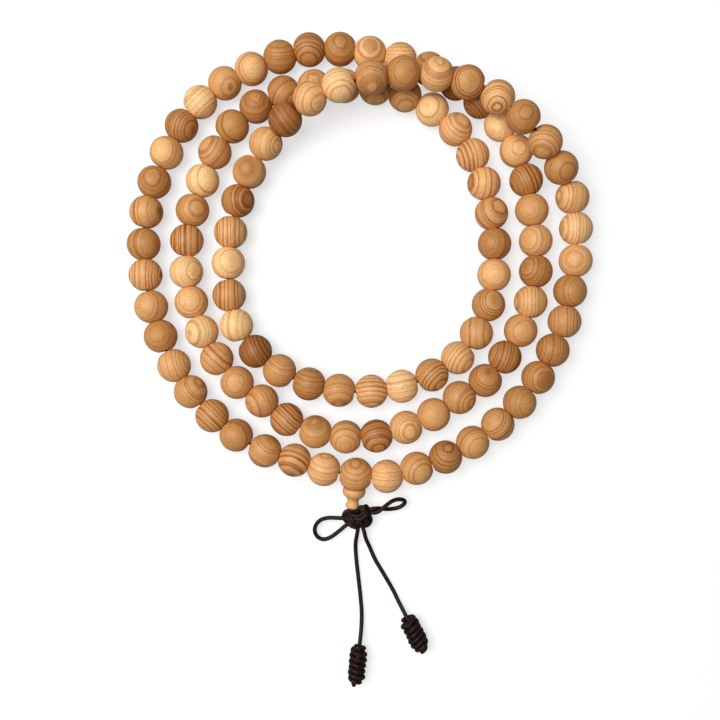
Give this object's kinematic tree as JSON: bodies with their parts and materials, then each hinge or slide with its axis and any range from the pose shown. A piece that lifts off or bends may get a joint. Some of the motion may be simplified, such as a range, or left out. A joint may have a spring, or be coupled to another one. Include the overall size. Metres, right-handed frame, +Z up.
{
  "type": "mala prayer beads",
  "caption": "Loop of round wooden prayer beads on one cord, laid in three turns, with a guru bead, a small turned tower bead, a bow knot and two knotted cord tails.",
  "frame": {"origin": "on the table, under the middle of the beads and the bow", "axes": "+Z up from the table, -Y from the guru bead along the tower bead towards the tails, +X to the right seen from above"},
  "size_m": [0.1119, 0.1572, 0.0164],
  "materials": {
    "bead_wood": "smooth turned softwood with clear growth rings, satin, each bead its own tone from cream to brown",
    "guru_wood": "smooth turned softwood, satin",
    "tower_wood": "smooth turned pale yellow wood, satin",
    "string_cord": "dark brown elastic cord",
    "tail_cord": "very dark brown waxed cord with a soft sheen"
  },
  "bodies": {
    "root": {"string": "string_cord", "guru_bead": "guru_wood", "bow_knot": "tail_cord"},
    "left_tail": {"tail_left": "tail_cord", "end_knot_left": "tail_cord"},
    "right_tail": {"tail_right": "tail_cord", "end_knot_right": "tail_cord"},
    "tower": {"guru_tower": "tower_wood"},
    "beads_001_003": {"beads_001_003": "bead_wood"},
    "beads_004_005": {"beads_004_005": "bead_wood"},
    "beads_006_007": {"beads_006_007": "bead_wood"},
    "beads_008_009": {"beads_008_009": "bead_wood"},
    "beads_010_011": {"beads_010_011": "bead_wood"},
    "beads_012_013": {"beads_012_013": "bead_wood"},
    "beads_014_015": {"beads_014_015": "bead_wood"},
    "beads_016_017": {"beads_016_017": "bead_wood"},
    "beads_018_019": {"beads_018_019": "bead_wood"},
    "beads_020_021": {"beads_020_021": "bead_wood"},
    "beads_022_023": {"beads_022_023": "bead_wood"},
    "beads_024_025": {"beads_024_025": "bead_wood"},
    "beads_026_027": {"beads_026_027": "bead_wood"},
    "beads_028_029": {"beads_028_029": "bead_wood"},
    "beads_030_031": {"beads_030_031": "bead_wood"},
    "beads_032_033": {"beads_032_033": "bead_wood"},
    "beads_034_035": {"beads_034_035": "bead_wood"},
    "beads_036_038": {"beads_036_038": "bead_wood"},
    "beads_039_040": {"beads_039_040": "bead_wood"},
    "beads_041_042": {"beads_041_042": "bead_wood"},
    "beads_043_045": {"beads_043_045": "bead_wood"},
    "beads_046_047": {"beads_046_047": "bead_wood"},
    "beads_048_049": {"beads_048_049": "bead_wood"},
    "beads_050_051": {"beads_050_051": "bead_wood"},
    "beads_052_053": {"beads_052_053": "bead_wood"},
    "beads_054_055": {"beads_054_055": "bead_wood"},
    "beads_056_057": {"beads_056_057": "bead_wood"},
    "beads_058_059": {"beads_058_059": "bead_wood"},
    "beads_060_061": {"beads_060_061": "bead_wood"},
    "beads_062_063": {"beads_062_063": "bead_wood"},
    "beads_064_065": {"beads_064_065": "bead_wood"},
    "beads_066_067": {"beads_066_067": "bead_wood"},
    "beads_068_069": {"beads_068_069": "bead_wood"},
    "beads_070_071": {"beads_070_071": "bead_wood"},
    "beads_072_073": {"beads_072_073": "bead_wood"},
    "beads_074_075": {"beads_074_075": "bead_wood"},
    "beads_076_077": {"beads_076_077": "bead_wood"},
    "beads_078_079": {"beads_078_079": "bead_wood"},
    "beads_080_081": {"beads_080_081": "bead_wood"},
    "beads_082_083": {"beads_082_083": "bead_wood"},
    "beads_084_085": {"beads_084_085": "bead_wood"},
    "beads_086_087": {"beads_086_087": "bead_wood"},
    "beads_088_089": {"beads_088_089": "bead_wood"},
    "beads_090_091": {"beads_090_091": "bead_wood"},
    "beads_092_093": {"beads_092_093": "bead_wood"},
    "beads_094_095": {"beads_094_095": "bead_wood"},
    "beads_096_097": {"beads_096_097": "bead_wood"},
    "beads_098_100": {"beads_098_100": "bead_wood"},
    "beads_101_102": {"beads_101_102": "bead_wood"},
    "beads_103_104": {"beads_103_104": "bead_wood"},
    "beads_105_106": {"beads_105_106": "bead_wood"},
    "beads_107_108": {"beads_107_108": "bead_wood"}
  },
  "joints": [
    {"name": "left_tail_swing", "type": "hinge", "parent": "root", "child": "left_tail", "pos_m": [-0.0009, -0.0589, 0.0022], "axis": [0, 0, 1], "range_deg": [-30, 8]},
    {"name": "right_tail_swing", "type": "hinge", "parent": "root", "child": "right_tail", "pos_m": [0.0007, -0.0589, 0.0022], "axis": [0, 0, 1], "range_deg": [-8, 35]},
    {"name": "tower_turn", "type": "hinge", "parent": "root", "child": "tower", "pos_m": [-0.00184, -0.04978, 0.00317], "axis": [0.1074, 0.9767, 0.1856], "continuous": true},
    {"name": "turn_001_003", "type": "hinge", "parent": "root", "child": "beads_001_003", "pos_m": [-0.01603, -0.0414, 0.004], "axis": [-0.9535, 0.3014, 0], "continuous": true},
    {"name": "turn_004_005", "type": "hinge", "parent": "root", "child": "beads_004_005", "pos_m": [-0.03288, -0.03308, 0.004], "axis": [-0.7796, 0.6263, 0], "continuous": true},
    {"name": "turn_006_007", "type": "hinge", "parent": "root", "child": "beads_006_007", "pos_m": [-0.04293, -0.02185, 0.004], "axis": [-0.5348, 0.845, 0], "continuous": true},
    {"name": "turn_008_009", "type": "hinge", "parent": "root", "child": "beads_008_009", "pos_m": [-0.04927, -0.00813, 0.004], "axis": [-0.3045, 0.9525, 0], "continuous": true},
    {"name": "turn_010_011", "type": "hinge", "parent": "root", "child": "beads_010_011", "pos_m": [-0.05199, 0.00673, 0.004], "axis": [-0.0606, 0.9982, 0], "continuous": true},
    {"name": "turn_012_013", "type": "hinge", "parent": "root", "child": "beads_012_013", "pos_m": [-0.05061, 0.02174, 0.004], "axis": [0.258, 0.9661, 0], "continuous": true},
    {"name": "turn_014_015", "type": "hinge", "parent": "root", "child": "beads_014_015", "pos_m": [-0.04492, 0.0356, 0.004], "axis": [0.4857, 0.8741, 0], "continuous": true},
    {"name": "turn_016_017", "type": "hinge", "parent": "root", "child": "beads_016_017", "pos_m": [-0.03567, 0.04677, 0.004], "axis": [0.7921, 0.6104, 0], "continuous": true},
    {"name": "turn_018_019", "type": "hinge", "parent": "root", "child": "beads_018_019", "pos_m": [-0.02294, 0.0539, 0.004], "axis": [0.9226, 0.3857, 0], "continuous": true},
    {"name": "turn_020_021", "type": "hinge", "parent": "root", "child": "beads_020_021", "pos_m": [-0.00879, 0.05713, 0.004], "axis": [0.9999, 0.0144, 0], "continuous": true},
    {"name": "turn_022_023", "type": "hinge", "parent": "root", "child": "beads_022_023", "pos_m": [0.00573, 0.05551, 0.004], "axis": [0.9806, -0.1959, 0], "continuous": true},
    {"name": "turn_024_025", "type": "hinge", "parent": "root", "child": "beads_024_025", "pos_m": [0.01949, 0.05072, 0.004], "axis": [0.8804, -0.4742, 0], "continuous": true},
    {"name": "turn_026_027", "type": "hinge", "parent": "root", "child": "beads_026_027", "pos_m": [0.03098, 0.04181, 0.004], "axis": [0.6666, -0.7454, 0], "continuous": true},
    {"name": "turn_028_029", "type": "hinge", "parent": "root", "child": "beads_028_029", "pos_m": [0.03838, 0.02931, 0.004], "axis": [0.3199, -0.9475, 0], "continuous": true},
    {"name": "turn_030_031", "type": "hinge", "parent": "root", "child": "beads_030_031", "pos_m": [0.0414, 0.01492, 0.004], "axis": [0.1264, -0.992, 0], "continuous": true},
    {"name": "turn_032_033", "type": "hinge", "parent": "root", "child": "beads_032_033", "pos_m": [0.04128, 0.00026, 0.004], "axis": [-0.1665, -0.986, 0], "continuous": true},
    {"name": "turn_034_035", "type": "hinge", "parent": "root", "child": "beads_034_035", "pos_m": [0.03635, -0.0135, 0.004], "axis": [-0.5121, -0.8589, 0], "continuous": true},
    {"name": "turn_036_038", "type": "hinge", "parent": "root", "child": "beads_036_038", "pos_m": [0.02355, -0.02638, 0.004], "axis": [-0.8337, -0.5522, 0], "continuous": true},
    {"name": "turn_039_040", "type": "hinge", "parent": "root", "child": "beads_039_040", "pos_m": [0.00717, -0.03458, 0.004], "axis": [-0.961, -0.2765, 0], "continuous": true},
    {"name": "turn_041_042", "type": "hinge", "parent": "root", "child": "beads_041_042", "pos_m": [-0.00737, -0.03521, 0.004], "axis": [-0.9862, 0.1658, 0], "continuous": true},
    {"name": "turn_043_045", "type": "hinge", "parent": "root", "child": "beads_043_045", "pos_m": [-0.02384, -0.02721, 0.004], "axis": [-0.8021, 0.5973, 0], "continuous": true},
    {"name": "turn_046_047", "type": "hinge", "parent": "root", "child": "beads_046_047", "pos_m": [-0.03646, -0.01382, 0.004], "axis": [-0.4842, 0.8749, 0], "continuous": true},
    {"name": "turn_048_049", "type": "hinge", "parent": "root", "child": "beads_048_049", "pos_m": [-0.04136, 0.00014, 0.004], "axis": [-0.1602, 0.9871, 0], "continuous": true},
    {"name": "turn_050_051", "type": "hinge", "parent": "root", "child": "beads_050_051", "pos_m": [-0.04118, 0.01492, 0.004], "axis": [0.1832, 0.9831, 0], "continuous": true},
    {"name": "turn_052_053", "type": "hinge", "parent": "root", "child": "beads_052_053", "pos_m": [-0.0366, 0.02905, 0.004], "axis": [0.3992, 0.9169, 0], "continuous": true},
    {"name": "turn_054_055", "type": "hinge", "parent": "root", "child": "beads_054_055", "pos_m": [-0.0281, 0.04103, 0.004], "axis": [0.7675, 0.641, 0], "continuous": true},
    {"name": "turn_056_057", "type": "hinge", "parent": "root", "child": "beads_056_057", "pos_m": [-0.01499, 0.04753, 0.004], "axis": [0.9801, 0.1984, 0], "continuous": true},
    {"name": "turn_058_059", "type": "hinge", "parent": "root", "child": "beads_058_059", "pos_m": [-0.00034, 0.04814, 0.004], "axis": [0.9973, -0.074, 0], "continuous": true},
    {"name": "turn_060_061", "type": "hinge", "parent": "root", "child": "beads_060_061", "pos_m": [0.01376, 0.04442, 0.004], "axis": [0.8851, -0.4655, 0], "continuous": true},
    {"name": "turn_062_063", "type": "hinge", "parent": "root", "child": "beads_062_063", "pos_m": [0.02468, 0.03487, 0.004], "axis": [0.5554, -0.8316, 0], "continuous": true},
    {"name": "turn_064_065", "type": "hinge", "parent": "root", "child": "beads_064_065", "pos_m": [0.03034, 0.02139, 0.004], "axis": [0.242, -0.9703, 0], "continuous": true},
    {"name": "turn_066_067", "type": "hinge", "parent": "root", "child": "beads_066_067", "pos_m": [0.03191, 0.0068, 0.004], "axis": [-0.018, -0.9998, 0], "continuous": true},
    {"name": "turn_068_069", "type": "hinge", "parent": "root", "child": "beads_068_069", "pos_m": [0.02907, -0.00752, 0.004], "axis": [-0.3915, -0.9202, 0], "continuous": true},
    {"name": "turn_070_071", "type": "hinge", "parent": "root", "child": "beads_070_071", "pos_m": [0.02005, -0.01891, 0.004], "axis": [-0.831, -0.5563, 0], "continuous": true},
    {"name": "turn_072_073", "type": "hinge", "parent": "root", "child": "beads_072_073", "pos_m": [0.00608, -0.02428, 0.004], "axis": [-0.9874, -0.1585, 0], "continuous": true},
    {"name": "turn_074_075", "type": "hinge", "parent": "root", "child": "beads_074_075", "pos_m": [-0.00894, -0.02388, 0.004], "axis": [-0.9784, 0.2065, 0], "continuous": true},
    {"name": "turn_076_077", "type": "hinge", "parent": "root", "child": "beads_076_077", "pos_m": [-0.0225, -0.01761, 0.004], "axis": [-0.7796, 0.6262, 0], "continuous": true},
    {"name": "turn_078_079", "type": "hinge", "parent": "root", "child": "beads_078_079", "pos_m": [-0.03081, -0.00545, 0.004], "axis": [-0.234, 0.9722, 0], "continuous": true},
    {"name": "turn_080_081", "type": "hinge", "parent": "root", "child": "beads_080_081", "pos_m": [-0.03161, 0.00958, 0.004], "axis": [0.0744, 0.9972, 0], "continuous": true},
    {"name": "turn_082_083", "type": "hinge", "parent": "root", "child": "beads_082_083", "pos_m": [-0.0282, 0.02424, 0.00422], "axis": [0.3783, 0.9242, 0.0521], "continuous": true},
    {"name": "turn_084_085", "type": "hinge", "parent": "root", "child": "beads_084_085", "pos_m": [-0.02032, 0.03666, 0.00681], "axis": [0.6531, 0.6742, 0.3448], "continuous": true},
    {"name": "turn_086_087", "type": "hinge", "parent": "root", "child": "beads_086_087", "pos_m": [-0.00861, 0.04471, 0.01147], "axis": [0.9118, 0.3788, 0.1583], "continuous": true},
    {"name": "turn_088_089", "type": "hinge", "parent": "root", "child": "beads_088_089", "pos_m": [0.00601, 0.04829, 0.01235], "axis": [0.9912, 0.1318, -0.0094], "continuous": true},
    {"name": "turn_090_091", "type": "hinge", "parent": "root", "child": "beads_090_091", "pos_m": [0.02101, 0.04772, 0.01203], "axis": [0.9673, -0.2537, 0.0048], "continuous": true},
    {"name": "turn_092_093", "type": "hinge", "parent": "root", "child": "beads_092_093", "pos_m": [0.03451, 0.04112, 0.01187], "axis": [0.7962, -0.604, -0.0358], "continuous": true},
    {"name": "turn_094_095", "type": "hinge", "parent": "root", "child": "beads_094_095", "pos_m": [0.04495, 0.03063, 0.0094], "axis": [0.5784, -0.7355, -0.353], "continuous": true},
    {"name": "turn_096_097", "type": "hinge", "parent": "root", "child": "beads_096_097", "pos_m": [0.05089, 0.01779, 0.00487], "axis": [0.1476, -0.9798, -0.1349], "continuous": true},
    {"name": "turn_098_100", "type": "hinge", "parent": "root", "child": "beads_098_100", "pos_m": [0.05011, -0.00082, 0.004], "axis": [-0.1814, -0.9834, 0], "continuous": true},
    {"name": "turn_101_102", "type": "hinge", "parent": "root", "child": "beads_101_102", "pos_m": [0.04419, -0.01829, 0.004], "axis": [-0.4737, -0.8807, 0], "continuous": true},
    {"name": "turn_103_104", "type": "hinge", "parent": "root", "child": "beads_103_104", "pos_m": [0.03539, -0.03015, 0.004], "axis": [-0.7068, -0.7074, 0], "continuous": true},
    {"name": "turn_105_106", "type": "hinge", "parent": "root", "child": "beads_105_106", "pos_m": [0.02348, -0.03891, 0.004], "axis": [-0.8795, -0.4758, 0], "continuous": true},
    {"name": "turn_107_108", "type": "hinge", "parent": "root", "child": "beads_107_108", "pos_m": [0.0097, -0.04433, 0.004], "axis": [-0.9655, -0.2603, 0], "continuous": true}
  ]
}
